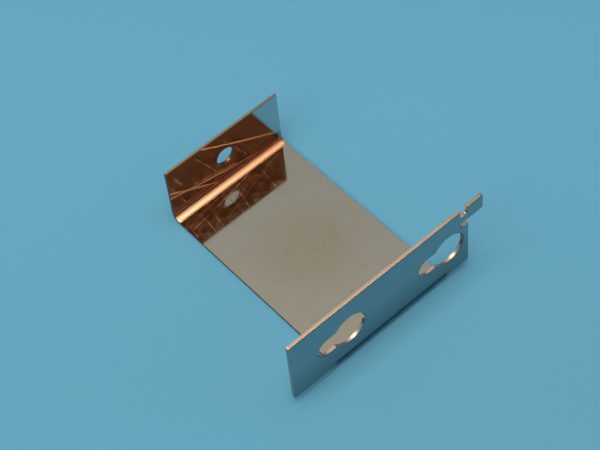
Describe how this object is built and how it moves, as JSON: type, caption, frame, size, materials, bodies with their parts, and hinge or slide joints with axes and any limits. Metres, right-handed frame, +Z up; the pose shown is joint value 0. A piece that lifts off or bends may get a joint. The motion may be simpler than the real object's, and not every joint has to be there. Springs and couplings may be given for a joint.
{
  "type": "stamped metal bracket",
  "caption": "Sheet steel channel bracket: flat base, a wide front flange with keyhole slots and a necked tab, and a lower rear flange with a round hole.",
  "frame": {"origin": "middle of the base's underside", "axes": "+Z up from the base, +X along both flanges towards the tab, +Y from the front flange to the rear flange"},
  "size_m": [0.0542, 0.0544, 0.0212],
  "materials": {
    "bright_steel": "bright, mirror-like rolled sheet with fine scratches; satin sheared edges"
  },
  "bodies": {
    "root": {"bracket": "bright_steel"}
  },
  "joints": []
}
